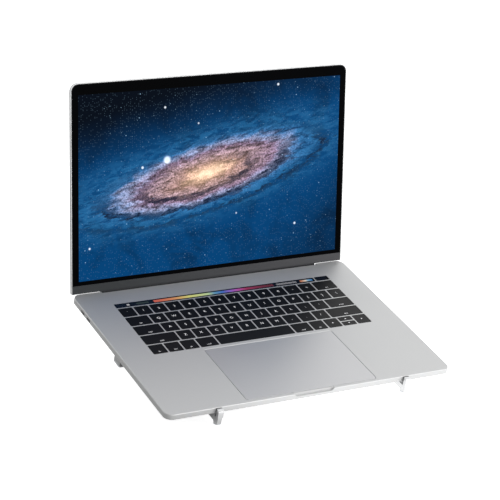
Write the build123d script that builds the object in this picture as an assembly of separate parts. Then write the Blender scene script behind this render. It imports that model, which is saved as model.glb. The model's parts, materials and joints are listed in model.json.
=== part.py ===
from build123d import *
import os
from math import cos, radians, sin

# Open laptop on a slim folding riser. All lengths are in millimetres.
# Every shape is drawn in the deck frame: the origin is the middle of the keyboard deck's front
# edge, +X to the right, +Y to the rear, +Z square to the deck. place() tilts it onto the floor.

# Whole object
TILT = 18.3              # slope of the deck, degrees
DECK_HEIGHT = 19.1       # deck's front edge above the floor
DECK_FRONT_Y = -125.332  # deck's front edge from the middle of the footprint

# Laptop base
CASE_W = 349.3
CASE_D = 240.7
CORNER_R = 9.0
CASE_H = 10.0            # deck to underside
COVER_TOP = -5.9         # seam between top case and bottom cover
EDGE_TAPER = 9.0         # how far the underside is drawn in at the edges
WALL = 1.6
NOTCH_HALF = 139.3       # half width of the gap for the hinge cover
NOTCH_Y = 237.2          # deck's rear edge along that gap
NOTCH_WALL = 235.9       # rear wall under the deck's lip
LIP_T = 0.5              # thickness of that lip

# Keyboard
UNIT = 19.05             # key pitch
KEY_GAP = 1.5            # metal web between two keys
KEY_FIT = 0.2            # gap between a key and its opening
WELL_FRONT = 107.0
ROW_UNITS = 14.5
KEY_TOP = 0.15
KEY_BOTTOM = -1.35
DOME_TOP = -1.95
PLATE_TOP = -3.0
STRIP_D = 8.6            # depth of the touch strip

# Trackpad
PAD_W = 160.0
PAD_D = 98.8
PAD_FRONT = 4.2
BEVEL = 0.45

# Lid, at rest this far open
OPEN_ANGLE = 106.16
HINGE_Y = 237.7
HINGE_Z = -2.1
LID_FACE = 2.6           # hinge axis to the glass plane
LID_THICK = 5.0
LID_REACH = 237.7        # hinge axis to the lid's free edge
LID_ROOT = 2.6           # hinge axis to the lid's near edge
RIM = 0.7                # aluminium rim around the glass
GASKET = 0.6
GLASS_T = 0.9
CHIN_BACK = 1.5          # glass plane to the back of the chin strip
POCKET = 4.2             # glass plane to the floor of the shell's pocket
GLASS_NEAR = 12.1        # hinge axis to the glass's near edge
BARREL_R = 1.5           # roller along the hinge
PIN_R = 0.9

# Riser
RAIL_X = 115.0           # centre plane of each rail
RAIL_T = 5.0
LIP_W = 6.4              # width of the hook above its waist
RAIL_TOP = -10.95
RAIL_BOTTOM = -17.0
RAIL_END = 238.0
HOOK_FRONT = -6.2
HOOK_REAR = 10.0
LIP_BACK = -1.9
LIP_TOP = -0.3
WAIST = -9.4             # where the hook narrows to the rail's width
PAD_T = 1.2              # rubber under the toes and feet
LEG_X0 = 106.1           # each leg lies against its rail's inner face
LEG_X1 = 112.3
LEG_D = 16.0
LEG_Y = 230.0            # pivot of each leg
LEG_Z = -25.5
LEG_END = -92.0
BAR_W = 12.0
BAR_T = 2.2
BAR_TOP_A = -11.4        # bars on the left rail
BAR_TOP_B = -14.2        # bars on the right rail
BAR_X = 104.0            # pivots on the rails
BAR_FRONT_Y = 40.0
BAR_REAR_Y = 132.0
RIVET_R = 2.0
HEAD_R = 3.4             # rivet heads of the braces
LEG_HEAD_R = 3.6         # rivet heads of the legs
HEAD_T = 0.7             # thickness of a rivet head
LOW_HEAD_T = 0.8         # thickness of a head under a brace
HEAD_GAP = 0.1           # play between a head and the bar or leg beside it
RUN = 0.06               # radial running clearance of a pivot
TAB_R = 6.5              # tabs that carry the braces
TAB_LOW = -16.9
TAB_TOP = -11.1
TENON_HALF = 1.5         # tenon that joins each rail to its hook
TENON_L = 6.0
TENON_LOW = -15.5
TENON_TOP = -12.5
LEDGE_TOP = -13.0        # ledge that stops the open leg
STRIP_SPANS = ((14, 74), (160, 224))  # silicone strips along each rail


def block(x0, x1, y0, y1, z0, z1):
    """Box between three pairs of coordinates."""
    size = (x1 - x0, y1 - y0, z1 - z0)
    mid = ((x0 + x1) / 2, (y0 + y1) / 2, (z0 + z1) / 2)
    return Pos(*mid) * Box(*size)


def slab(x0, x1, y0, y1, z0, z1, r):
    """Box whose four upright edges are rounded."""
    outline = RectangleRounded(x1 - x0, y1 - y0, r)
    return Pos((x0 + x1) / 2, (y0 + y1) / 2, z0) * extrude(outline, z1 - z0)


def post(x, y, z0, z1, r):
    """Round post square to the deck."""
    return Pos(x, y, (z0 + z1) / 2) * Cylinder(r, z1 - z0)


def rod(x0, x1, y, z, r):
    """Round rod along X."""
    return Pos((x0 + x1) / 2, y, z) * Rotation(0, 90, 0) * Cylinder(r, abs(x1 - x0))


def profile(points, x0, x1):
    """Prism along X over a closed outline of (y, z) points."""
    outline = Polyline(*[(0, y, z) for y, z in points], close=True)
    face = make_face(outline)
    return Pos(x0, 0, 0) * extrude(face, x1 - x0, dir=(1, 0, 0))


def floor_z(y):
    """Height of the floor below the deck plane at depth y."""
    tilt = radians(TILT)
    return (-DECK_HEIGHT - y * sin(tilt)) / cos(tilt)


def place(shape):
    """Tilt a shape drawn in the deck frame and stand it on the floor."""
    return Pos(0, DECK_FRONT_Y, DECK_HEIGHT) * Rotation(TILT, 0, 0) * shape


def mirrored(shape):
    """The same shape on the other side of the middle plane."""
    return mirror(shape, about=Plane.YZ)


# ---------------------------------------------------------------- keyboard layout

def row_keys(widths, row, start=0.0):
    """Boxes (x0, x1, y0, y1) of the pitch cells of one row, counted from the front."""
    cells = []
    x = (start - ROW_UNITS / 2) * UNIT
    y = WELL_FRONT + row * UNIT
    for width in widths:
        cells.append((x, x + width * UNIT, y, y + UNIT))
        x += width * UNIT
    return cells


def arrow_cells():
    """Left, down, up and right arrow cells; up and down share one pitch."""
    left, middle, right = row_keys([1, 1, 1], 0, ROW_UNITS - 3)
    x0, x1, y0, y1 = middle
    half = (y0 + y1) / 2
    return [left, (x0, x1, y0, half), (x0, x1, half, y1), right]


NUMBER_ROW = row_keys([1] * 13 + [1.5], 4)
TAB_ROW = row_keys([1.5] + [1] * 13, 3)
HOME_ROW = row_keys([1.75] + [1] * 11 + [1.75], 2)
SHIFT_ROW = row_keys([2.25] + [1] * 10 + [2.25], 1)
MODIFIERS = row_keys([1, 1, 1, 1.25], 0) + row_keys([1.25, 1], 0, 9.25)
SPACE = row_keys([5], 0, 4.25)
ARROWS = arrow_cells()
STRIP_Y = WELL_FRONT + 5 * UNIT
POWER_X = (ROW_UNITS / 2 - 1) * UNIT
WELL_X = ROW_UNITS / 2 * UNIT


def opening(cell):
    """Deck opening of one key cell."""
    x0, x1, y0, y1 = cell
    g = KEY_GAP / 2
    return slab(x0 + g, x1 - g, y0 + g, y1 - g, -WALL - 0.5, 1, 1.4)


def key_cap(cell):
    """One key cap inside its opening."""
    x0, x1, y0, y1 = cell
    g = KEY_GAP / 2 + KEY_FIT
    cap = slab(x0 + g, x1 - g, y0 + g, y1 - g, KEY_BOTTOM, KEY_TOP, 1.2)
    return chamfer(cap.edges().group_by(Axis.Z)[-1], 0.12)


def keys(cells):
    return Compound(children=[key_cap(c) for c in cells])


# ---------------------------------------------------------------- laptop base

def top_case():
    w = CASE_W / 2
    body = slab(-w, w, 0, CASE_D, COVER_TOP, 0, CORNER_R)
    body = fillet(body.edges().group_by(Axis.Z)[-1], 1.0)
    body -= slab(-w + 3, w - 3, 3, 230, COVER_TOP - 1, -WALL, CORNER_R - 3)
    body -= block(-NOTCH_HALF, NOTCH_HALF, NOTCH_Y, CASE_D + 1, -20, 1)
    body -= block(-NOTCH_HALF, NOTCH_HALF, NOTCH_WALL, CASE_D + 1, -20, -LIP_T)
    cells = NUMBER_ROW + TAB_ROW + HOME_ROW + SHIFT_ROW + MODIFIERS + SPACE + ARROWS
    body -= [opening(c) for c in cells]
    body -= strip_space()
    body -= power_space()
    body -= pad_space()
    body -= finger_notch()
    body -= port_spaces()
    for side in (-1, 1):
        body -= rod(side * 130, side * 149, HINGE_Y, HINGE_Z, PIN_R)
    return body


def pad_space():
    """Trackpad opening with a small bevel round its upper edge."""
    x = PAD_W / 2
    y0 = PAD_FRONT
    y1 = PAD_FRONT + PAD_D
    bevel = slab(-x - BEVEL, x + BEVEL, y0 - BEVEL, y1 + BEVEL, -BEVEL, 0.0, 3 + BEVEL)
    bevel = chamfer(bevel.edges().group_by(Axis.Z)[0], BEVEL * 0.99)
    return slab(-x, x, y0, y1, -5, 1, 3) + bevel


def strip_space():
    g = KEY_GAP / 2
    return slab(-WELL_X + g, POWER_X - g, STRIP_Y + g, STRIP_Y + STRIP_D + g, -WALL - 0.5, 1, 1)


def power_space():
    g = KEY_GAP / 2
    return slab(POWER_X + g, WELL_X - g, STRIP_Y + g, STRIP_Y + STRIP_D + g, -WALL - 0.5, 1, 1)


def finger_notch():
    """Scoop in the front edge for lifting the lid."""
    scoop = Polyline((-26, 0, 1), (26, 0, 1), (21.5, 0, -3.2), (-21.5, 0, -3.2), close=True)
    return Pos(0, -1, 0) * extrude(make_face(scoop), 3.3, dir=(0, 1, 0))


PORT_Z = -4.1
PORT_YS = (194.5, 209.5)
JACK_Y = 177.0
JACK_Z = -3.85


def port_hole(y, half_w, half_h, x0, x1):
    """Flat-oval prism along X."""
    side = Plane(origin=(x0, y, PORT_Z), x_dir=(0, 1, 0), z_dir=(1, 0, 0))
    return extrude(side * SlotOverall(2 * half_w, 2 * half_h), x1 - x0)


def port_spaces():
    w = CASE_W / 2
    holes = [port_hole(y, 4.5, 1.35, w - 4, w + 1) for y in PORT_YS]
    holes += [mirrored(h) for h in holes]
    holes.append(rod(w - 4, w + 1, JACK_Y, JACK_Z, 1.8))
    return holes


def bottom_cover():
    w = CASE_W / 2
    body = slab(-w, w, 0, CASE_D, -CASE_H, COVER_TOP, CORNER_R)
    depth = CASE_H + COVER_TOP - 0.4
    body = chamfer(body.edges().group_by(Axis.Z)[0], depth, EDGE_TAPER)
    inset = EDGE_TAPER + 1.5
    body -= slab(-w + inset, w - inset, inset, 230, -CASE_H + 1, 0, 4)
    body -= block(-NOTCH_HALF, NOTCH_HALF, NOTCH_WALL, CASE_D + 1, -20, 1)
    body -= [post(x, y, -CASE_H - 1, -CASE_H + 0.5, 1.7) for x, y in SCREWS]
    return body


SCREWS = [(-145, 14), (-50, 14), (50, 14), (145, 14), (-145, 226), (145, 226)]
FEET = [(-150, 24), (150, 24), (-150, 214), (150, 214)]


def base_screws():
    heads = []
    for x, y in SCREWS:
        head = post(x, y, -CASE_H + 0.05, -CASE_H + 0.5, 1.6)
        head -= post(x, y, -CASE_H, -CASE_H + 0.25, 0.6)
        heads.append(head)
    return Compound(children=heads)


def base_feet():
    pads = []
    for x, y in FEET:
        pad = post(x, y, -CASE_H - 0.8, -CASE_H, 8.5)
        pads.append(fillet(pad.edges().group_by(Axis.Z)[0], 0.4))
    return Compound(children=pads)


def keyboard_plate():
    x = WELL_X + 1.5
    y0 = WELL_FRONT - 1.5
    y1 = STRIP_Y + STRIP_D + 3
    plate = block(-x, x, y0, y1, PLATE_TOP - 0.6, -WALL)
    return plate - block(1 - x, x - 1, y0 + 1, y1 - 1, PLATE_TOP, 0)


def key_domes():
    """Rubber domes between the plate and the caps."""
    cells = NUMBER_ROW + TAB_ROW + HOME_ROW + SHIFT_ROW + MODIFIERS + SPACE + ARROWS
    domes = []
    for x0, x1, y0, y1 in cells:
        domes.append(post((x0 + x1) / 2, (y0 + y1) / 2, PLATE_TOP, DOME_TOP, 3.0))
    domes.append(post(POWER_X + UNIT / 2, STRIP_Y + 5, PLATE_TOP, DOME_TOP, 3.0))
    return Compound(children=domes)


def touch_strip():
    g = KEY_GAP / 2 + KEY_FIT
    y1 = STRIP_Y + STRIP_D + KEY_GAP / 2 - KEY_FIT
    glass = slab(-WELL_X + g, POWER_X - g, STRIP_Y + g, y1, -1.5, 0.0, 0.8)
    return glass + block(-WELL_X + 8, POWER_X - 8, STRIP_Y + 3, STRIP_Y + 7, PLATE_TOP, -1.5)


def power_key():
    g = KEY_GAP / 2 + KEY_FIT
    y1 = STRIP_Y + STRIP_D + KEY_GAP / 2 - KEY_FIT
    return slab(POWER_X + g, WELL_X - g, STRIP_Y + g, y1, KEY_BOTTOM, KEY_TOP - 0.05, 0.8)


def trackpad():
    f = 0.25
    y1 = PAD_FRONT + PAD_D - f
    plate = slab(-PAD_W / 2 + f, PAD_W / 2 - f, PAD_FRONT + f, y1, -1.4, -0.1, 2.8)
    plate = chamfer(plate.edges().group_by(Axis.Z)[-1], 0.15)
    return plate + block(-70, 70, PAD_FRONT + 8, PAD_FRONT + PAD_D - 8, -2.4, -1.4)


INNER_FLOOR = -CASE_H + 1
BOARD_LOW = -7.4
BOARD_TOP = -6.4
CHIP_TOP = -5.2
SMALL_CHIP_TOP = -5.5
BOARD_POSTS = [(-120, 118), (120, 118), (-55, 215), (55, 215)]


def main_board():
    board = block(-128, 128, 112, 150, BOARD_LOW, BOARD_TOP)
    board += block(-62, 62, 150, 222, BOARD_LOW, BOARD_TOP)
    board += block(-18, 18, 168, 204, BOARD_TOP, CHIP_TOP)
    board += block(34, 54, 172, 192, BOARD_TOP, CHIP_TOP)
    board += [block(x, x + 14, 120, 142, BOARD_TOP, SMALL_CHIP_TOP) for x in (-110, -80, 70, 98)]
    board += [post(x, y, INNER_FLOOR, BOARD_LOW, 2) for x, y in BOARD_POSTS]
    return board


def battery_cells():
    """Six flat cells on each side of and below the trackpad."""
    cells = []
    for x0 in (-160, -104, -52, 1, 53, 106):
        cells.append(block(x0, x0 + 50, 16, 100, INNER_FLOOR, -4.2))
    return Compound(children=cells)


FAN_X = 97.0
FAN_Y = 188.0
FAN_R = 27.0
FAN_TOP = -4.0
DUCT_LOW = -8.0          # inside of the fan housing
DUCT_TOP = -4.8
HUB_R = 9.0
BLADES = 23


def fan_housing(side):
    shell = post(side * FAN_X, FAN_Y, INNER_FLOOR, FAN_TOP, FAN_R)
    shell += block(side * FAN_X - 24, side * FAN_X + 24, FAN_Y, 221, INNER_FLOOR, FAN_TOP)
    shell -= post(side * FAN_X, FAN_Y, DUCT_LOW, DUCT_TOP, FAN_R - 1.5)
    shell -= block(side * FAN_X - 22, side * FAN_X + 22, FAN_Y, 222, DUCT_LOW, DUCT_TOP)
    shell -= post(side * FAN_X, FAN_Y, DUCT_TOP - 0.1, FAN_TOP + 1, 12)
    return shell + post(side * FAN_X, FAN_Y, DUCT_LOW, -5.4, 1.5)


def fan_housings():
    return Compound(children=[fan_housing(-1), fan_housing(1)])


def fan_rotor(side):
    hub = post(side * FAN_X, FAN_Y, -7.6, -5.2, HUB_R)
    for i in range(BLADES):
        blade = block(HUB_R - 0.5, FAN_R - 3.5, -0.4, 0.4, -7.4, -5.4)
        hub += Pos(side * FAN_X, FAN_Y, 0) * Rotation(0, 0, i * 360 / BLADES) * blade
    return hub - post(side * FAN_X, FAN_Y, -9, -5.3, 1.5 + RUN)


PIPE_Y = 222.5           # front of the heat pipe


def heat_pipe():
    pipe = block(-92, 92, PIPE_Y, PIPE_Y + 6, BOARD_TOP, DUCT_TOP)
    return pipe + block(-12, 12, 205, PIPE_Y, BOARD_TOP, DUCT_TOP)


def speakers():
    boxes = []
    for side in (-1, 1):
        x0, x1 = sorted((side * 141, side * 161))
        boxes.append(slab(x0, x1, 112, 205, INNER_FLOOR, -2.4, 2))
    return Compound(children=boxes)


def port_socket(y):
    """Metal shell with its tongue, behind the opening in the case wall."""
    w = CASE_W / 2
    shell = port_hole(y, 4.9, 1.75, w - 10.5, w - 3.05)
    shell -= port_hole(y, 4.3, 1.15, w - 9.8, w)
    tongue = block(w - 9.9, w - 4.5, y - 3.2, y + 3.2, PORT_Z - 0.35, PORT_Z + 0.35)
    return shell + tongue


def port_sockets():
    right = [port_socket(y) for y in PORT_YS]
    return Compound(children=right + [mirrored(s) for s in right])


def headphone_socket():
    w = CASE_W / 2
    body = block(w - 13.5, w - 3.05, JACK_Y - 3, JACK_Y + 3, COVER_TOP + 0.05, -WALL - 0.05)
    return body - rod(w - 12.5, w, JACK_Y, JACK_Z, 1.75)


def hinge_pins():
    pins = [rod(s * 128, s * 149, HINGE_Y, HINGE_Z, PIN_R) for s in (-1, 1)]
    return Compound(children=pins)


# ---------------------------------------------------------------- lid, drawn closed

def lid_block(x0, x1, near, far, t0, t1):
    """Lid box: near and far from the hinge axis, t0 and t1 out from the glass plane."""
    z = HINGE_Z + LID_FACE
    return block(x0, x1, HINGE_Y - far, HINGE_Y - near, z + t0, z + t1)


def opened(shape):
    """Swing a shape of the closed lid to its rest angle."""
    hinge = Pos(0, HINGE_Y, HINGE_Z)
    return hinge * Rotation(-OPEN_ANGLE, 0, 0) * Pos(0, -HINGE_Y, -HINGE_Z) * shape


def lid_plate(inset, near, t0, t1, r_near=0.0):
    """Plate of the lid's outline drawn in by inset, from its own near edge to the free edge."""
    w = CASE_W / 2 - inset
    plate = lid_block(-w, w, near, LID_REACH - inset, t0, t1)
    plate = round_at(plate, HINGE_Y - LID_REACH + inset, CORNER_R - inset)
    if r_near > 0:
        plate = round_at(plate, HINGE_Y - near, r_near)
    return plate


def round_at(plate, y, r):
    """Round the two upright corners that lie at depth y."""
    upright = plate.edges().filter_by(Axis.Z)
    return fillet(upright.filter_by_position(Axis.Y, y - 0.3, y + 0.3), r)


def lid_shell():
    shell = lid_plate(0, LID_ROOT, 0.15, LID_THICK, 1.0)
    shell = fillet(shell.edges().group_by(Axis.Z)[-1], 1.6)
    shell -= lid_plate(RIM, LID_ROOT - 2, -1, CHIN_BACK)
    shell -= lid_plate(RIM, LID_ROOT + 1, -1, POCKET)
    return shell - lid_block(-NOTCH_HALF, NOTCH_HALF, LID_ROOT - 1, LID_ROOT + 2, -1, POCKET)


def display_glass():
    return lid_plate(RIM + GASKET + 0.02, GLASS_NEAR, 0, GLASS_T)


def display_panel():
    w = CASE_W / 2 - 7
    return lid_block(-w, w, GLASS_NEAR + 2, LID_REACH - 7, GLASS_T, POCKET)


def lid_gasket():
    """Dark seal between the rim and the glass, with a ledge under the glass's edge."""
    ring = lid_plate(RIM + 0.02, GLASS_NEAR, 0.05, GLASS_T + 0.3)
    ring -= lid_plate(RIM + GASKET + 0.02, GLASS_NEAR - 1, -1, GLASS_T)
    return ring - lid_plate(RIM + GASKET + 1.5, GLASS_NEAR - 1, 0, 2)


def chin_strip():
    w = CASE_W / 2 - RIM - 0.1
    return lid_block(-w, w, LID_ROOT + 0.05, GLASS_NEAR - 0.1, 0.05, CHIN_BACK)


def hinge_cover():
    """Dark roller along the hinge, with a web and a blade that reaches in behind the chin."""
    half = NOTCH_HALF - 0.8
    cover = rod(-half, half, HINGE_Y, HINGE_Z, BARREL_R)
    cover += lid_block(-half, half, -BARREL_R, 0.2, -LID_FACE, POCKET)
    cover += lid_block(-half, half, -BARREL_R, LID_ROOT + 0.02, 0.3, POCKET)
    cover += lid_block(-half, half, LID_ROOT, 9.5, CHIN_BACK, POCKET)
    for side in (-1, 1):
        cover -= rod(side * 126, side * 141, HINGE_Y, HINGE_Z, PIN_R + RUN)
    return cover


def camera_module():
    return lid_block(-4, 4, LID_REACH - 6.8, LID_REACH - 3.4, GLASS_T, POCKET)


# ---------------------------------------------------------------- riser, right side

def tenon(y1):
    """Square tongue from inside the hook to depth y1."""
    x0 = RAIL_X - TENON_HALF
    x1 = RAIL_X + TENON_HALF
    return block(x0, x1, HOOK_REAR - TENON_L, y1, TENON_LOW, TENON_TOP)


def rail():
    """Right rail: bar on edge, front tenon, lug of the leg pivot, ledge that stops the leg."""
    x0 = RAIL_X - RAIL_T / 2
    x1 = RAIL_X + RAIL_T / 2
    half = LEG_D / 2
    bar = block(x0, x1, HOOK_REAR, RAIL_END, RAIL_BOTTOM, RAIL_TOP)
    bar += tenon(HOOK_REAR)
    bar += block(x0, x1, LEG_Y - half, LEG_Y + half, LEG_Z, RAIL_BOTTOM)
    bar += rod(x0, x1, LEG_Y, LEG_Z, half)
    bar += block(LEG_X0 + 0.6, x0, LEG_Y - 6, RAIL_END, RAIL_BOTTOM, LEDGE_TOP)
    return bar - rod(x0 - 1, x1 + 1, LEG_Y, LEG_Z, RIVET_R)


def tab(y, z0, z1):
    """Round-ended tab on the rail's inner face for a bar pivot."""
    body = block(BAR_X, RAIL_X - RAIL_T / 2, y - TAB_R, y + TAB_R, z0, z1)
    body += post(BAR_X, y, z0, z1, TAB_R)
    return body - post(BAR_X, y, z0 - 1, z1 + 1, RIVET_R)


def rail_right():
    upper = [tab(y, BAR_TOP_B + 0.3, TAB_TOP) for y in (BAR_FRONT_Y, BAR_REAR_Y)]
    return rail() + upper


def rail_left():
    z1 = BAR_TOP_A - BAR_T - 0.2
    lower = [tab(y, TAB_LOW, z1) for y in (BAR_FRONT_Y, BAR_REAR_Y)]
    return mirrored(rail() + lower)


def hook():
    """Front hook: lip in front of the laptop, heel under it and toe on the floor."""
    x0 = RAIL_X - RAIL_T / 2
    x1 = RAIL_X + RAIL_T / 2
    drop = PAD_T / cos(radians(TILT))
    outline = [
        (HOOK_FRONT + 0.3, WAIST),
        (LIP_BACK, WAIST),
        (LIP_BACK, RAIL_TOP),
        (HOOK_REAR, RAIL_TOP),
        (HOOK_REAR, RAIL_BOTTOM),
        (3.2, RAIL_BOTTOM),
        (1.6, floor_z(1.6) + drop),
        (HOOK_FRONT + 0.8, floor_z(HOOK_FRONT + 0.8) + drop),
    ]
    body = profile(outline, x0, x1)
    body -= tenon(HOOK_REAR + 1)
    return body + lip()


def lip():
    """Upper part of the hook, a little wider, its front rounded over at the top."""
    bend = [
        (HOOK_FRONT, WAIST),
        (HOOK_FRONT, -3.0),
        (HOOK_FRONT + 0.5, -1.3),
        (HOOK_FRONT + 1.4, -0.5),
        (HOOK_FRONT + 2.4, LIP_TOP),
        (LIP_BACK, LIP_TOP),
        (LIP_BACK, WAIST),
    ]
    return profile(bend, RAIL_X - LIP_W / 2, RAIL_X + LIP_W / 2)


def hook_pad():
    """Dark cushion between the lip and the laptop's front edge."""
    x0 = RAIL_X - LIP_W / 2
    x1 = RAIL_X + LIP_W / 2
    pad = block(x0, x1, LIP_BACK, -0.6, WAIST, LIP_TOP + 0.1)
    return fillet(pad.edges().group_by(Axis.Z)[-1], 0.35)


def toe_pad():
    """Rubber sole between the hook's toe and the floor."""
    drop = PAD_T / cos(radians(TILT))
    y0 = HOOK_FRONT + 0.8
    y1 = 1.6
    outline = [
        (y0, floor_z(y0) + drop),
        (y1, floor_z(y1) + drop),
        (y1, floor_z(y1)),
        (y0, floor_z(y0)),
    ]
    return profile(outline, RAIL_X - RAIL_T / 2, RAIL_X + RAIL_T / 2)


def rail_pads():
    """Two silicone strips on the rail's top edge."""
    strips = []
    for y0, y1 in STRIP_SPANS:
        z = RAIL_TOP
        strips.append(slab(RAIL_X - 2.3, RAIL_X + 2.3, y0, y1, z, z + 0.9, 2.0))
    return Compound(children=strips)


def leg():
    """Rear leg; its square rear corner meets the rail's ledge when the leg stands open."""
    half = LEG_D / 2
    body = block(LEG_X0, LEG_X1, LEG_Y - half, LEG_Y + half, LEG_END, LEG_Z)
    body += block(LEG_X0, LEG_X1, LEG_Y, LEG_Y + half, LEG_Z, RAIL_BOTTOM - 0.05)
    body += rod(LEG_X0, LEG_X1, LEG_Y, LEG_Z, half)
    return body - rod(LEG_X0 - 1, LEG_X1 + 1, LEG_Y, LEG_Z, RIVET_R + RUN)


def leg_pin():
    """Rivet pressed in the rail's lug; the leg turns on it."""
    x1 = RAIL_X + RAIL_T / 2
    inner = LEG_X0 - HEAD_GAP
    pin = rod(inner - HEAD_T, x1 + HEAD_T, LEG_Y, LEG_Z, RIVET_R)
    pin += rod(inner - HEAD_T, inner, LEG_Y, LEG_Z, LEG_HEAD_R)
    return pin + rod(x1, x1 + HEAD_T, LEG_Y, LEG_Z, LEG_HEAD_R)


def foot_pad():
    """Rubber cap on the leg's end with a small flat on the floor."""
    y0 = LEG_Y - LEG_D / 2
    y1 = LEG_Y + LEG_D / 2
    low = LEG_END - 2.6
    reach = y0 + 3.3
    outline = [(y0, LEG_END), (y1, LEG_END), (y1, low), (reach, floor_z(reach)), (y0, floor_z(y0))]
    return profile(outline, LEG_X0, LEG_X1)


def bar(x0, x1, y, top, fit0, fit1):
    """Flat round-ended bar of the folding brace."""
    low = top - BAR_T
    body = block(x0, x1, y - BAR_W / 2, y + BAR_W / 2, low, top)
    body += post(x0, y, low, top, BAR_W / 2)
    body += post(x1, y, low, top, BAR_W / 2)
    body -= post(x0, y, low - 1, top + 1, RIVET_R + fit0)
    return body - post(x1, y, low - 1, top + 1, RIVET_R + fit1)


def bar_left(y):
    return bar(-BAR_X, 0, y, BAR_TOP_A, RUN, 0)


def bar_right(y):
    return bar(0, BAR_X, y, BAR_TOP_B, RUN, RUN)


def knuckle_rivet(y):
    """Rivet pressed in the left bar; the right bar turns on it."""
    low = BAR_TOP_B - BAR_T - HEAD_GAP
    top = BAR_TOP_A + HEAD_T
    rivet = post(0, y, low - LOW_HEAD_T, top, RIVET_R)
    rivet += post(0, y, low - LOW_HEAD_T, low, HEAD_R)
    return rivet + post(0, y, BAR_TOP_A, top, HEAD_R)


def brace_pins_left():
    """Pins pressed in the left rail's lower tabs; heads above the bars."""
    top = BAR_TOP_A + HEAD_GAP
    pins = []
    for y in (BAR_FRONT_Y, BAR_REAR_Y):
        pin = post(-BAR_X, y, TAB_LOW, top + HEAD_T, RIVET_R)
        pins.append(pin + post(-BAR_X, y, top, top + HEAD_T, HEAD_R))
    return Compound(children=pins)


def brace_pins_right():
    """Pins pressed in the right rail's upper tabs; heads below the bars."""
    low = BAR_TOP_B - BAR_T - HEAD_GAP
    pins = []
    for y in (BAR_FRONT_Y, BAR_REAR_Y):
        pin = post(BAR_X, y, low - LOW_HEAD_T, TAB_TOP, RIVET_R)
        pins.append(pin + post(BAR_X, y, low - LOW_HEAD_T, low, HEAD_R))
    return Compound(children=pins)


# ---------------------------------------------------------------- nodes

NODES = {
    "rail_left": rail_left(),
    "rail_right": rail_right(),
    "hook_left": mirrored(hook()),
    "hook_right": hook(),
    "hook_pad_left": mirrored(hook_pad()),
    "hook_pad_right": hook_pad(),
    "toe_pad_left": mirrored(toe_pad()),
    "toe_pad_right": toe_pad(),
    "rail_pads_left": mirrored(rail_pads()),
    "rail_pads_right": rail_pads(),
    "leg_left": mirrored(leg()),
    "leg_right": leg(),
    "foot_pad_left": mirrored(foot_pad()),
    "foot_pad_right": foot_pad(),
    "leg_pin_left": mirrored(leg_pin()),
    "leg_pin_right": leg_pin(),
    "bar_front_left": bar_left(BAR_FRONT_Y),
    "bar_front_right": bar_right(BAR_FRONT_Y),
    "bar_rear_left": bar_left(BAR_REAR_Y),
    "bar_rear_right": bar_right(BAR_REAR_Y),
    "rivet_front": knuckle_rivet(BAR_FRONT_Y),
    "rivet_rear": knuckle_rivet(BAR_REAR_Y),
    "brace_pins_left": brace_pins_left(),
    "brace_pins_right": brace_pins_right(),
    "top_case": top_case(),
    "bottom_cover": bottom_cover(),
    "base_screws": base_screws(),
    "base_feet": base_feet(),
    "keyboard_plate": keyboard_plate(),
    "key_domes": key_domes(),
    "touch_strip": touch_strip(),
    "power_key": power_key(),
    "trackpad": trackpad(),
    "keys_number_row": keys(NUMBER_ROW),
    "keys_tab_row": keys(TAB_ROW),
    "keys_home_row": keys(HOME_ROW),
    "keys_shift_row": keys(SHIFT_ROW),
    "keys_modifiers": keys(MODIFIERS),
    "space_bar": keys(SPACE),
    "arrow_keys": keys(ARROWS),
    "main_board": main_board(),
    "battery_cells": battery_cells(),
    "fan_housings": fan_housings(),
    "fan_rotor_left": fan_rotor(-1),
    "fan_rotor_right": fan_rotor(1),
    "heat_pipe": heat_pipe(),
    "speakers": speakers(),
    "port_sockets": port_sockets(),
    "headphone_socket": headphone_socket(),
    "hinge_pins": hinge_pins(),
    "lid_shell": opened(lid_shell()),
    "display_glass": opened(display_glass()),
    "display_panel": opened(display_panel()),
    "lid_gasket": opened(lid_gasket()),
    "chin_strip": opened(chin_strip()),
    "hinge_cover": opened(hinge_cover()),
    "camera_module": opened(camera_module()),
}

os.makedirs("parts", exist_ok=True)
for name, shape in NODES.items():
    export_step(place(shape), f"parts/{name}.step")
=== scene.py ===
import json
import math

import bpy
from mathutils import Matrix, Vector


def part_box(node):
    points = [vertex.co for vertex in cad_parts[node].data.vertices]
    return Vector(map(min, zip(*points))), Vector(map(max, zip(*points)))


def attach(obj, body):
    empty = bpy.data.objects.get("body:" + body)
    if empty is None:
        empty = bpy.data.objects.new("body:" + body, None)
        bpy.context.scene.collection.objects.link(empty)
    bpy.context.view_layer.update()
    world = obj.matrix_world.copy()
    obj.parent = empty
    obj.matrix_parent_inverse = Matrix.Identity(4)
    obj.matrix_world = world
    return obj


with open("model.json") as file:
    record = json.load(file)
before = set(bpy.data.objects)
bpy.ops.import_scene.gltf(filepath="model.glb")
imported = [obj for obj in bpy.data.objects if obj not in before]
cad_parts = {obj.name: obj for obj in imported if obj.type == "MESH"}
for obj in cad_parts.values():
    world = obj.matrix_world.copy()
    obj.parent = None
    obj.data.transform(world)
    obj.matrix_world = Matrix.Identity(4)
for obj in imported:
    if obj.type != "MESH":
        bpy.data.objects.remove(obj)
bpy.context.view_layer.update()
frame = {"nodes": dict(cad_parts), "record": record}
NODES = frame["nodes"]
RECORD = frame["record"]
JOINTS = {j["name"]: j for j in RECORD["behaviour"]["joints"]}

# The deck's own axes: square to the deck, up its slope, and across it.
LIFT = Vector(JOINTS["laptop_lift"]["axis"]).normalized()
RIGHT = Vector((1, 0, 0))
SLOPE = LIFT.cross(RIGHT).normalized()

BLACK = (0.0, 0.0, 0.0)


# ------------------------------------------------------------------ node graphs


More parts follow.
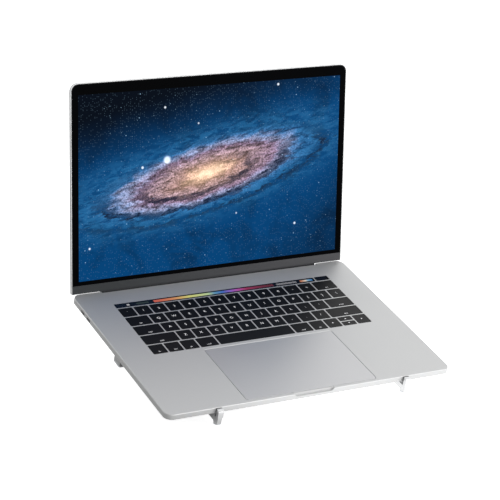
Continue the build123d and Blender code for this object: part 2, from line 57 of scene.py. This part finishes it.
class Graph:
    """One material and short ways to add nodes to it."""

    def __init__(self, name):
        self.mat = bpy.data.materials.new(name)
        self.mat.use_nodes = True
        self.tree = self.mat.node_tree
        self.bsdf = self.tree.nodes["Principled BSDF"]
        coords = self.tree.nodes.new("ShaderNodeTexCoord")
        self.place = coords.outputs["Object"]

    def put(self, socket, value):
        """Link a socket or set a plain value."""
        if isinstance(value, bpy.types.NodeSocket):
            self.tree.links.new(value, socket)
        elif isinstance(value, (tuple, list, Vector)):
            size = len(socket.default_value)
            socket.default_value = (tuple(value) + (1.0,))[:size]
        else:
            socket.default_value = value

    def math(self, kind, a, b=0.0, c=0.0):
        n = self.tree.nodes.new("ShaderNodeMath")
        n.operation = kind
        for socket, value in zip(n.inputs, (a, b, c)):
            self.put(socket, value)
        return n.outputs[0]

    def plus(self, a, b):
        return self.math("ADD", a, b)

    def less(self, a, b):
        return self.math("SUBTRACT", a, b)

    def times(self, *values):
        """Product of two or more values."""
        total = values[0]
        for value in values[1:]:
            total = self.math("MULTIPLY", total, value)
        return total

    def scaled(self, value, factor, shift):
        return self.math("MULTIPLY_ADD", value, factor, shift)

    def squares(self, a, b):
        """Sum of two squares."""
        return self.plus(self.times(a, a), self.times(b, b))

    def length(self, a, b):
        return self.math("SQRT", self.squares(a, b))

    def between(self, value, low, high):
        """One where low < value < high, otherwise zero."""
        above = self.math("GREATER_THAN", value, low)
        return self.times(above, self.math("LESS_THAN", value, high))

    def dot(self, vec, axis):
        n = self.tree.nodes.new("ShaderNodeVectorMath")
        n.operation = "DOT_PRODUCT"
        self.put(n.inputs[0], vec)
        self.put(n.inputs[1], axis)
        return n.outputs["Value"]

    def vector(self, x, y, z=0.0):
        n = self.tree.nodes.new("ShaderNodeCombineXYZ")
        for socket, value in zip(n.inputs, (x, y, z)):
            self.put(socket, value)
        return n.outputs[0]

    def grey(self, value):
        """A colour whose three parts are the same."""
        return self.vector(value, value, value)

    def mix(self, factor, a, b, blend="MIX"):
        n = self.tree.nodes.new("ShaderNodeMix")
        n.data_type = "RGBA"
        n.blend_type = blend
        n.clamp_result = False
        self.put(n.inputs["Factor"], factor)
        self.put(n.inputs[6], a)
        self.put(n.inputs[7], b)
        return n.outputs[2]

    def ramp(self, factor, stops):
        n = self.tree.nodes.new("ShaderNodeValToRGB")
        self.put(n.inputs[0], factor)
        marks = n.color_ramp.elements
        while len(marks) < len(stops):
            marks.new(0.5)
        for mark, (at, colour) in zip(marks, stops):
            mark.position = at
            mark.color = tuple(colour) + (1.0,)
        return n.outputs[0]

    def span(self, value, low, high, to_low=0.0, to_high=1.0):
        """Map low..high smoothly onto to_low..to_high."""
        n = self.tree.nodes.new("ShaderNodeMapRange")
        n.interpolation_type = "SMOOTHSTEP"
        for socket, v in zip(n.inputs, (value, low, high, to_low, to_high)):
            self.put(socket, v)
        return n.outputs[0]

    def noise(self, vec, scale, detail=3.0, rough=0.5, warp=0.0):
        n = self.tree.nodes.new("ShaderNodeTexNoise")
        self.put(n.inputs["Vector"], vec)
        n.inputs["Scale"].default_value = scale
        n.inputs["Detail"].default_value = detail
        n.inputs["Roughness"].default_value = rough
        n.inputs["Distortion"].default_value = warp
        return n.outputs["Fac"]

    def cells(self, vec, scale):
        """Distance to the nearest random point, and that point's colour."""
        n = self.tree.nodes.new("ShaderNodeTexVoronoi")
        n.voronoi_dimensions = "2D"
        self.put(n.inputs["Vector"], vec)
        n.inputs["Scale"].default_value = scale
        return n.outputs["Distance"], n.outputs["Color"]

    def bump(self, height, strength, distance):
        n = self.tree.nodes.new("ShaderNodeBump")
        self.put(n.inputs["Height"], height)
        n.inputs["Strength"].default_value = strength
        n.inputs["Distance"].default_value = distance
        self.put(self.bsdf.inputs["Normal"], n.outputs[0])

    def set(self, **values):
        for key, value in values.items():
            self.put(self.bsdf.inputs[key.replace("_", " ")], value)

    def reflect(self, level):
        """How strongly the surface mirrors, as a plain value."""
        self.bsdf.inputs["Specular IOR Level"].default_value = level


BROAD_SCALE = 14.0       # size of the slow changes of tone and sheen
BROAD_SHEEN = 0.08       # how much roughness they add from low to high
FINE_SHEEN = 0.06        # the same for the fine grain
GRAIN_RELIEF = 0.35      # strength of the grain's bump


def plain(name, colour, metal, rough, grain, depth, vary):
    """A surface with fine grain, slight wear in its sheen and slight change of tone."""
    g = Graph(name)
    fine = g.noise(g.place, grain, 4.0, 0.6)
    broad = g.noise(g.place, BROAD_SCALE, 3.0, 0.55)
    tone = g.scaled(broad, vary, 1.0 - vary / 2)
    g.set(Base_Color=g.mix(tone, BLACK, colour), Metallic=metal)
    sheen = g.scaled(broad, BROAD_SHEEN, rough - BROAD_SHEEN / 2)
    g.set(Roughness=g.scaled(fine, FINE_SHEEN, sheen))
    g.bump(fine, GRAIN_RELIEF, depth)
    return g


# Each slot's colour, metalness, roughness, grain per metre, depth of the grain in metres and
# change of tone
PLAIN_LOOKS = {
    "deck_metal": ((0.600, 0.604, 0.604), 0.72, 0.50, 2600.0, 0.00001, 0.03),
    "rail_metal": ((0.72, 0.725, 0.73), 0.82, 0.27, 1800.0, 0.00001, 0.05),
    "steel": ((0.62, 0.63, 0.65), 1.0, 0.28, 1500.0, 0.00001, 0.08),
    # on the hook pads this dark tone also stands in for the shade in the gap behind their lips:
    # painted shade
    "dark_rubber": ((0.035, 0.036, 0.039), 0.0, 0.62, 900.0, 0.00004, 0.2),
    "pad_glass": ((0.545, 0.547, 0.556), 0.70, 0.37, 3000.0, 0.000005, 0.03),
    "hinge_black": ((0.022, 0.023, 0.026), 0.0, 0.42, 1500.0, 0.00002, 0.2),
    "board": ((0.012, 0.06, 0.03), 0.0, 0.45, 500.0, 0.00005, 0.3),
    "cell": ((0.03, 0.031, 0.034), 0.0, 0.5, 700.0, 0.00003, 0.2),
    "copper": ((0.72, 0.38, 0.24), 1.0, 0.3, 900.0, 0.00002, 0.15),
    "panel": ((0.35, 0.36, 0.38), 0.2, 0.5, 900.0, 0.00002, 0.1),
}


def silicone():
    g = plain("silicone", (0.70, 0.72, 0.74), 0.0, 0.55, 700.0, 0.00003, 0.08)
    g.bsdf.inputs["Subsurface Weight"].default_value = 0.15
    g.bsdf.inputs["Subsurface Radius"].default_value = (0.002, 0.002, 0.002)
    return g.mat


def key_plastic():
    """Matt black key caps."""
    g = plain("key_plastic", (0.0032, 0.0033, 0.0036), 0.0, 0.40, 2400.0, 0.00001, 0.3)
    g.reflect(0.18)
    return g.mat


def chin_metal():
    """Dark anodised strip under the screen, with painted shade: darker at its left end and paler
    towards its right end.

    Its own colour takes the place of the plain one.
    """
    g = plain("chin", (0.042, 0.044, 0.048), 0.30, 0.38, 2600.0, 0.00001, 0.1)
    px = g.dot(g.place, RIGHT)
    fine = g.noise(g.place, 2600.0)
    # painted shade: the strip's tone runs from dark at the left end to paler at the right, as the
    # light falls on it
    shade = g.mix(g.span(px, -0.17, 0.15), (0.004, 0.007, 0.009), (0.034, 0.034, 0.038))
    g.set(Base_Color=g.mix(g.times(fine, 0.15), shade, (0.05, 0.05, 0.055)))
    return g.mat


# ------------------------------------------------------------------ lit surfaces

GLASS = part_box("display_glass")
BEZEL_SIDE = 0.0075      # from the glass's edge to the picture, at the sides
BEZEL_LOW = 0.0046
BEZEL_TOP = 0.0116
CORE_X = -0.0075         # core of the spiral, from the middle of the screen
CORE_UP = 0.1126         # and above the glass's lower edge
DISC_TURN = math.radians(12.0)
DISC_LONG = 0.130        # half length and half width of the spiral
DISC_SHORT = 0.0345
DISC_STRETCH = 3.2       # how drawn out the wisps along it are
LANE_TURNS = 17.0        # how tightly the dust lanes wind
CORE_LONG = 0.034        # half length and half width of the core's glow
CORE_SHORT = 0.013
DISC_TONES = [
    (0.00, (0.95, 0.76, 0.56)),
    (0.14, (0.66, 0.43, 0.31)),
    (0.30, (0.34, 0.20, 0.18)),
    (0.50, (0.36, 0.24, 0.27)),
    (0.70, (0.25, 0.17, 0.26)),
    (0.84, (0.33, 0.36, 0.55)),
    (1.00, (0.06, 0.19, 0.42)),
]
# Stars of three sizes: cells per metre, radius in cells, share left out, brightness
FINE_STARS = ((60.0, 0.05, 0.88, 0.6), (150.0, 0.10, 0.86, 0.30), (420.0, 0.26, 0.62, 0.09))
# Bright stars: place from the core, radius, brightness
BRIGHT_STARS = [
    ((-0.0503, 0.0196), 0.0058, 1.3),
    ((-0.0533, 0.0791), 0.0018, 1.2),
    ((0.0907, 0.0951), 0.0020, 1.3),
    ((-0.0808, 0.0136), 0.0021, 1.2),
    ((-0.0113, 0.0581), 0.0016, 0.8),
    ((0.1167, -0.0699), 0.0020, 1.1),
    ((-0.1453, -0.0719), 0.0018, 1.0),
    ((0.0387, -0.0499), 0.0015, 0.7),
]


def disc_place(g, x, z):
    """Place along and across the tilted disc."""
    c = math.cos(DISC_TURN)
    s = math.sin(DISC_TURN)
    along = g.plus(g.times(x, c), g.times(z, s))
    across = g.less(g.times(z, c), g.times(x, s))
    return along, across


def open_sky(g, x, z, flat):
    """Deep blue, nearly black towards the top left and dimmer in the bottom right corner."""
    cloud = g.noise(flat, 20.0, 6.0, 0.62, 0.6)
    slope = g.less(g.times(x, 0.22), z)
    lift = g.times(g.span(slope, -0.108, -0.02), g.span(cloud, 0.25, 0.62, 0.50, 1.12))
    lift = g.times(lift, g.span(g.less(x, z), 0.260, 0.120, 0.45, 1.0))
    return g.mix(lift, (0.0010, 0.0032, 0.0085), (0.0005, 0.056, 0.186))


def disc(g, sky, r, flat, ragged):
    """The disc in its blue haze; r is the distance from the core in disc radii."""
    haze = g.times(g.span(r, 1.90, 0.9), g.span(ragged, 0.40, 0.60, 0.12, 1.0))
    sky = g.mix(g.times(haze, 0.90), sky, (0.025, 0.175, 0.400))
    tone = g.ramp(r, DISC_TONES)
    fleck = g.noise(flat, 480.0, 3.0, 0.75)
    grain = g.times(g.span(fleck, 0.34, 0.66, 0.45, 1.70), g.span(ragged, 0.36, 0.62, 0.22, 1.55))
    grainy = g.mix(1.0, tone, g.grey(grain), "MULTIPLY")
    tone = g.mix(g.span(r, 0.0, 0.25, 0.25, 1.0), tone, grainy)
    return g.mix(g.span(r, 1.22, 0.66), sky, tone)


def dust(g, sky, r, a, b, ragged):
    """Dark arcs wound round the core, strongest on the side nearer the eye."""
    wind = g.plus(g.times(r, LANE_TURNS), g.math("ARCTAN2", b, a))
    lane = g.times(g.span(g.math("SINE", wind), -0.05, 0.75), g.span(ragged, 0.38, 0.56))
    lane = g.times(lane, g.span(b, 0.45, -0.30, 0.22, 1.0))
    lane = g.times(lane, g.span(r, 0.20, 0.42), g.span(r, 1.50, 1.15))
    return g.mix(g.times(lane, 0.96), sky, (0.006, 0.010, 0.032))


def core_glow(g, sky, along, across):
    a = g.math("DIVIDE", along, CORE_LONG)
    b = g.math("DIVIDE", across, CORE_SHORT)
    glow = g.math("EXPONENT", g.times(g.squares(a, b), -1.0))
    return g.mix(g.times(glow, 0.55), sky, (0.62, 0.40, 0.24), "ADD")


def fine_stars(g, sky, flat):
    for scale, size, left_out, power in FINE_STARS:
        near, tint = g.cells(flat, scale)
        lit = g.span(near, size, size * 0.25)
        pick = g.math("GREATER_THAN", g.dot(tint, RIGHT), left_out)
        sky = g.mix(g.times(lit, pick, power), sky, (0.45, 0.75, 1.0), "ADD")
    return sky


def bright_stars(g, sky, x, z):
    for (at_x, at_z), radius, power in BRIGHT_STARS:
        away = g.length(g.less(x, at_x), g.less(z, at_z))
        lit = g.times(g.span(away, radius, radius * 0.2), power)
        sky = g.mix(lit, sky, (0.85, 0.93, 1.0), "ADD")
    return sky


def galaxy(g, x, z):
    """Colour of a made-up night sky with one tilted spiral; x and z in metres from its core."""
    along, across = disc_place(g, x, z)
    flat = g.vector(x, z)
    stretched = g.vector(along, g.times(across, DISC_STRETCH))
    wisp = g.noise(stretched, 26.0, 8.0, 0.66, 0.9)
    ragged = g.noise(stretched, 58.0, 8.0, 0.72, 0.8)
    a = g.math("DIVIDE", along, DISC_LONG)
    b = g.math("DIVIDE", across, DISC_SHORT)
    r = g.plus(g.length(a, b), g.scaled(wisp, 0.50, -0.25))
    r = g.plus(r, g.scaled(ragged, 0.24, -0.12))
    sky = disc(g, open_sky(g, x, z, flat), r, flat, ragged)
    sky = dust(g, sky, r, a, b, ragged)
    sky = core_glow(g, sky, along, across)
    return bright_stars(g, fine_stars(g, sky, flat), x, z)


def screen_glass():
    """Black glass with a lit picture inside its border."""
    g = Graph("screen_glass")
    lo, hi = GLASS
    px = g.dot(g.place, RIGHT)
    pz = g.dot(g.place, (0, 0, 1))
    picture = galaxy(g, g.less(px, CORE_X), g.less(pz, lo[2] + CORE_UP))
    wide = g.between(px, lo[0] + BEZEL_SIDE, hi[0] - BEZEL_SIDE)
    high = g.between(pz, lo[2] + BEZEL_LOW, hi[2] - BEZEL_TOP)
    fine = g.noise(g.place, 400.0)
    g.set(Base_Color=(0.0008, 0.0009, 0.0012), Roughness=g.scaled(fine, 0.02, 0.05))
    g.set(Emission_Color=picture, Emission_Strength=g.times(wide, high))
    g.reflect(0.01)
    return g.mat


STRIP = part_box("touch_strip")
# Places along the strip, as parts of its length
BAND = (0.185, 0.785)    # colour band
BUTTONS = (0.80, 0.905)  # pale marks
TINTS = (0.925, 0.99)    # small group of tints
ESCAPE = (0.055, 0.068)  # one small pale mark
DIM = (0.10, 0.16)       # barely lit patch
BAND_HALF = 0.0022       # half heights of the lit parts
MARK_HALF = 0.0018
SMALL_HALF = 0.0016
STROKES = 520.0          # strokes per metre in the pale marks
BAND_COLOURS = [
    (0.00, (0.50, 0.10, 0.06)),
    (0.09, (0.55, 0.26, 0.10)),
    (0.20, (0.55, 0.54, 0.16)),
    (0.42, (0.40, 0.52, 0.26)),
    (0.50, (0.10, 0.26, 0.38)),
    (0.60, (0.04, 0.12, 0.42)),
    (0.70, (0.22, 0.10, 0.44)),
    (0.78, (0.36, 0.07, 0.30)),
    (0.86, (0.26, 0.03, 0.08)),
    (1.00, (0.09, 0.015, 0.02)),
]
TINT_COLOURS = [
    (0.00, (0.42, 0.14, 0.06)),
    (0.40, (0.62, 0.52, 0.42)),
    (0.70, (0.20, 0.36, 0.48)),
    (1.00, (0.04, 0.16, 0.36)),
]


def strip_middle():
    """Middle of the strip's depth, up the deck's slope."""
    ends = [Vector((0, y, z)).dot(SLOPE) for _, y, z in STRIP]
    return sum(ends) / 2


def strip_glass():
    """Glossy black strip with a lit colour band, pale marks and one small group of tints."""
    g = Graph("strip_glass")
    lo, hi = STRIP
    px = g.dot(g.place, RIGHT)
    along = g.math("DIVIDE", g.less(px, lo[0]), hi[0] - lo[0])
    deep = g.math("ABSOLUTE", g.less(g.dot(g.place, SLOPE), strip_middle()))

    def patch(ends, half):
        return g.times(g.between(along, *ends), g.math("LESS_THAN", deep, half))

    strokes = g.math("GREATER_THAN", g.math("FRACT", g.times(px, STROKES)), 0.25)
    band = g.ramp(g.span(along, *BAND), BAND_COLOURS)
    tints = g.ramp(g.span(along, *TINTS), TINT_COLOURS)
    glow = g.mix(patch(BAND, BAND_HALF), BLACK, band)
    glow = g.mix(g.times(patch(BUTTONS, MARK_HALF), strokes), glow, (0.22, 0.22, 0.23))
    glow = g.mix(patch(TINTS, MARK_HALF), glow, tints)
    glow = g.mix(patch(ESCAPE, SMALL_HALF), glow, (0.35, 0.35, 0.36))
    glow = g.mix(patch(DIM, SMALL_HALF), glow, (0.02, 0.028, 0.02))
    fine = g.noise(g.place, 500.0)
    g.set(Base_Color=(0.008, 0.008, 0.009), Roughness=g.scaled(fine, 0.04, 0.14))
    g.set(Emission_Color=glow, Emission_Strength=1.0)
    return g.mat


MATERIALS = {name: plain(name, *look).mat for name, look in PLAIN_LOOKS.items()}
MATERIALS["silicone"] = silicone()
MATERIALS["key_plastic"] = key_plastic()
MATERIALS["chin"] = chin_metal()
MATERIALS["screen_glass"] = screen_glass()
MATERIALS["strip_glass"] = strip_glass()

for part in RECORD["subparts"]:
    mesh = NODES[part["node"]].data
    mesh.materials.clear()
    mesh.materials.append(MATERIALS[part["material_slot"]])


# ------------------------------------------------------------------ key legends

UNIT = 0.01905           # key pitch
KEY_GAP = 0.0019
LETTER_SIZE = 0.0052
WORD_SIZE = 0.0030
WORD_DROP = -0.0048      # words sit this far below the middle of their caps
ARROW_SIZE = 0.0012
HALF_KEY = 0.0042        # middle of a half-height arrow key, from the row's middle
INK_LIFT = 0.00002
BODY_OF = {n: b for b, ns in RECORD["behaviour"]["bodies"].items() for n in ns}
ROW_WORDS = {
    "keys_number_row": list("`1234567890-=") + ["del"],
    "keys_tab_row": ["tab"] + list("QWERTYUIOP[]") + ["\\"],
    "keys_home_row": ["caps"] + list("ASDFGHJKL;'") + ["enter"],
    "keys_shift_row": ["shift"] + list("ZXCVBNM,./") + ["shift"],
    "keys_modifiers": ["fn", "ctrl", "alt", "cmd", "", "cmd", "alt"],
}
ROW_WIDTHS = {
    "keys_number_row": [1] * 13 + [1.5],
    "keys_tab_row": [1.5] + [1] * 13,
    "keys_home_row": [1.75] + [1] * 11 + [1.75],
    "keys_shift_row": [2.25] + [1] * 10 + [2.25],
    "keys_modifiers": [1, 1, 1, 1.25, 5, 1.25, 1],
}


def legend_ink_and_glow():
    g = plain("legend_ink_and_glow", (0.80, 0.80, 0.82), 0.0, 0.5, 2000.0, 0.000005, 0.1)
    # painted glow: the white print also gives off a faint light of its own, so it reads bright on
    # the dark caps
    g.set(Emission_Color=(0.8, 0.8, 0.82), Emission_Strength=0.35)
    return g.mat


INK_AND_GLOW = legend_ink_and_glow()


def legend(text, size):
    """Points and faces of flat text centred on its own middle."""
    curve = bpy.data.curves.new("legend", "FONT")
    curve.body = text
    curve.size = size
    curve.align_x = "CENTER"
    curve.align_y = "CENTER"
    holder = bpy.data.objects.new("legend", curve)
    bpy.context.collection.objects.link(holder)
    bpy.context.view_layer.update()
    graph = bpy.context.evaluated_depsgraph_get()
    shape = bpy.data.meshes.new_from_object(holder.evaluated_get(graph))
    bpy.data.objects.remove(holder)
    points = [v.co.copy() for v in shape.vertices]
    faces = [list(p.vertices) for p in shape.polygons]
    bpy.data.meshes.remove(shape)
    return points, faces


def triangle(dx, dy):
    """Points and face of a small arrow head that points along (dx, dy)."""
    tip = Vector((dx, dy, 0)) * ARROW_SIZE
    wing = Vector((-dy, dx, 0)) * ARROW_SIZE
    return [tip, wing - tip * 0.5, -wing - tip * 0.5], [[0, 1, 2]]


def cap_middle(node):
    """Middle of a row of caps, just above their tops, at x = 0."""
    lo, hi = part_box(node)
    middle = Vector((0, (lo[1] + hi[1]) / 2, (lo[2] + hi[2]) / 2))
    face = max(v.co.dot(LIFT) for v in NODES[node].data.vertices)
    return middle + LIFT * (face + INK_LIFT - middle.dot(LIFT))


def ink(node, marks):
    """Join marks, each given with its place on the row, into one piece that moves with the row."""
    turn = Matrix((RIGHT, SLOPE, LIFT)).transposed()
    middle = cap_middle(node)
    verts = []
    polys = []
    for across, along, (points, faces) in marks:
        start = len(verts)
        at = middle + RIGHT * across + SLOPE * along
        verts += [at + turn @ p for p in points]
        polys += [[start + i for i in f] for f in faces]
    mesh = bpy.data.meshes.new("legend_" + node)
    mesh.from_pydata(verts, [], polys)
    mesh.materials.append(INK_AND_GLOW)
    piece = bpy.data.objects.new("legend_" + node, mesh)
    bpy.context.collection.objects.link(piece)
    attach(piece, BODY_OF[node])


def row_marks(node):
    """Letters in the middle of their caps, words near the lower edge."""
    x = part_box(node)[0][0] - KEY_GAP / 2
    marks = []
    for width, word in zip(ROW_WIDTHS[node], ROW_WORDS[node]):
        centre = x + width * UNIT / 2
        x += width * UNIT
        if len(word) == 1:
            marks.append((centre, 0.0, legend(word, LETTER_SIZE)))
        elif word:
            marks.append((centre, WORD_DROP, legend(word, WORD_SIZE)))
    return marks


def arrow_marks(node):
    """Left, up, down and right heads; up and down share one key's width."""
    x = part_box(node)[0][0] - KEY_GAP / 2
    places = ((0.5, 0, -1, 0), (1.5, 1, 0, 1), (1.5, -1, 0, -1), (2.5, 0, 1, 0))
    return [(x + n * UNIT, half * HALF_KEY, triangle(dx, dy)) for n, half, dx, dy in places]


for row in ROW_WORDS:
    ink(row, row_marks(row))
ink("arrow_keys", arrow_marks("arrow_keys"))


# ------------------------------------------------------------------ set and light

FLOOR_WHITE = (0.90, 0.90, 0.905)
FLOOR_GLOW = (0.74, 0.74, 0.74)
FLOOR_GREY = 0.40        # tone of the floor in the metal's reflections
FRONT = (0.48, -0.85, 0.0)  # direction in which the reflected floor is bright
ROOM_LEVEL = 0.48        # light of the room where neither soft patch reaches
# The hinge's place from the deck's front edge, along the deck and below it
HINGE_BACK = 0.2377
HINGE_DOWN = 0.0021
# The eye, the way it looks and its upward side, in level axes from the deck's front edge
EYE = (-1.01135, -1.64860, 0.59157)
AHEAD = (0.48019, 0.84871, -0.22165)
UPWARD = (0.10904, 0.19290, 0.97512)
LENS = 138.0             # millimetres, on a sensor 36 mm wide


def floor_material():
    """White to the eye; in reflections and to bounced light, grey behind and bright in front."""
    g = plain("floor", FLOOR_WHITE, 0.0, 0.7, 60.0, 0.0001, 0.01)
    seen = g.tree.nodes.new("ShaderNodeLightPath").outputs["Is Camera Ray"]
    grey = g.scaled(g.noise(g.place, 60.0), 0.02, FLOOR_GREY)
    g.set(Base_Color=g.mix(seen, g.grey(grey), FLOOR_WHITE))
    ahead = g.span(g.dot(g.place, FRONT), 0.0, 0.13, 0.0, 1.05)
    g.set(Emission_Color=g.mix(seen, g.grey(ahead), FLOOR_GLOW), Emission_Strength=1.0)
    g.reflect(0.05)
    return g.mat


def lay_floor():
    """Pale floor just under the soles."""
    bpy.ops.mesh.primitive_plane_add(size=14.0, location=(0, 0, -0.0002))
    floor = bpy.context.active_object
    floor.name = "floor"
    floor.data.materials.append(floor_material())


def facing(tree, towards, low, high, power):
    """Brightness that rises to power as the cosine to a direction goes from low to high."""
    coords = tree.nodes.new("ShaderNodeTexCoord")
    near = tree.nodes.new("ShaderNodeVectorMath")
    near.operation = "DOT_PRODUCT"
    tree.links.new(coords.outputs["Generated"], near.inputs[0])
    near.inputs[1].default_value = Vector(towards).normalized()
    fade = tree.nodes.new("ShaderNodeMapRange")
    fade.interpolation_type = "SMOOTHSTEP"
    tree.links.new(near.outputs["Value"], fade.inputs["Value"])
    for name, value in (("From Min", low), ("From Max", high), ("To Min", 0.0), ("To Max", power)):
        fade.inputs[name].default_value = value
    return fade.outputs[0]


def added(tree, a, b):
    """Sum of a socket and a socket or plain value."""
    total = tree.nodes.new("ShaderNodeMath")
    total.operation = "ADD"
    tree.links.new(a, total.inputs[0])
    if isinstance(b, bpy.types.NodeSocket):
        tree.links.new(b, total.inputs[1])
    else:
        total.inputs[1].default_value = b
    return total.outputs[0]


def room():
    """Room that is white to the eye and lit by two soft patches behind, high right and low left."""
    world = bpy.data.worlds.new("studio")
    bpy.context.scene.world = world
    world.use_nodes = True
    tree = world.node_tree
    high_right = facing(tree, (0.62, 0.42, 0.66), 0.30, 1.0, 0.78)
    low_left = facing(tree, (-0.70, 0.70, 0.05), 0.55, 1.0, 0.75)
    whole = added(tree, added(tree, high_right, low_left), ROOM_LEVEL)
    seen = tree.nodes.new("ShaderNodeLightPath")
    pick = tree.nodes.new("ShaderNodeMix")
    tree.links.new(seen.outputs["Is Camera Ray"], pick.inputs["Factor"])
    tree.links.new(whole, pick.inputs[2])
    pick.inputs[3].default_value = 1.0
    back = tree.nodes["Background"]
    back.inputs["Color"].default_value = (1.0, 1.0, 1.0, 1.0)
    tree.links.new(pick.outputs[0], back.inputs["Strength"])


def lamp(name, at, towards, size, power):
    """White rectangular lamp that shines towards a point."""
    data = bpy.data.lights.new(name, "AREA")
    data.shape = "RECTANGLE"
    data.size, data.size_y = size
    data.energy = power
    light = bpy.data.objects.new(name, data)
    bpy.context.collection.objects.link(light)
    light.location = at
    light.rotation_mode = "QUATERNION"
    light.rotation_quaternion = (Vector(towards) - Vector(at)).to_track_quat("-Z", "Y")


def camera():
    """The eye, placed from the middle of the deck's front edge."""
    hinge = Vector(JOINTS["lid_hinge"]["pos_m"])
    deck_front = hinge - SLOPE * HINGE_BACK + LIFT * HINGE_DOWN
    data = bpy.data.cameras.new("camera")
    cam = bpy.data.objects.new("camera", data)
    bpy.context.collection.objects.link(cam)
    bpy.context.scene.camera = cam
    data.sensor_width = 36.0
    data.lens = LENS
    data.dof.use_dof = False
    data.clip_start = 0.05
    data.clip_end = 60.0
    ahead = Vector(AHEAD).normalized()
    side = ahead.cross(Vector(UPWARD)).normalized()
    up = side.cross(ahead).normalized()
    turn = Matrix((side, up, -ahead)).transposed()
    cam.matrix_world = Matrix.Translation(deck_front + Vector(EYE)) @ turn.to_4x4()


lay_floor()
room()
lamp("front", at=(0.75, -1.6, 0.42), towards=(0, 0, 0.04), size=(1.5, 0.8), power=16.0)
camera()
bpy.context.scene.view_settings.view_transform = "Standard"
